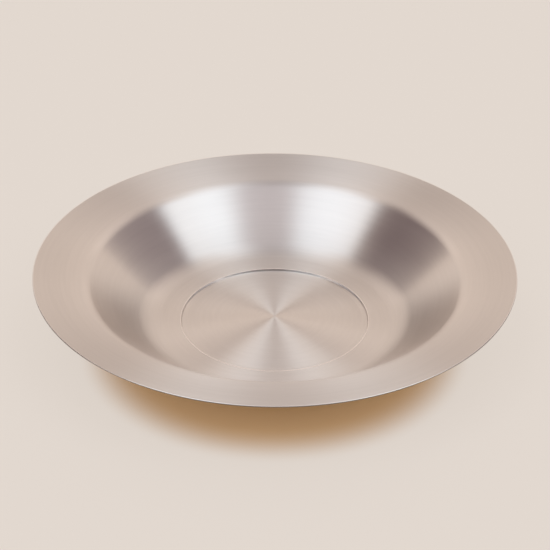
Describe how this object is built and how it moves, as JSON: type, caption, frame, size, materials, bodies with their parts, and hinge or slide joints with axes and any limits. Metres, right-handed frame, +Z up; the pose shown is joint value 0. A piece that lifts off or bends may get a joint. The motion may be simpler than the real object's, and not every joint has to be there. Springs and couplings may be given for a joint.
{
  "type": "pasta plate",
  "caption": "Round pressed steel pasta plate: flat well with a stepped base disc, sloping conical wall and a wide rising rim.",
  "frame": {"origin": "on the plate's axis, in the plane of the flat ring that it stands on", "axes": "+Z up along the axis of revolution, out of the bowl; X and Y across the rim"},
  "size_m": [0.24, 0.24, 0.033],
  "materials": {
    "brushed_steel": "circular brushed, satin"
  },
  "bodies": {
    "root": {"plate_body": "brushed_steel"}
  },
  "joints": []
}
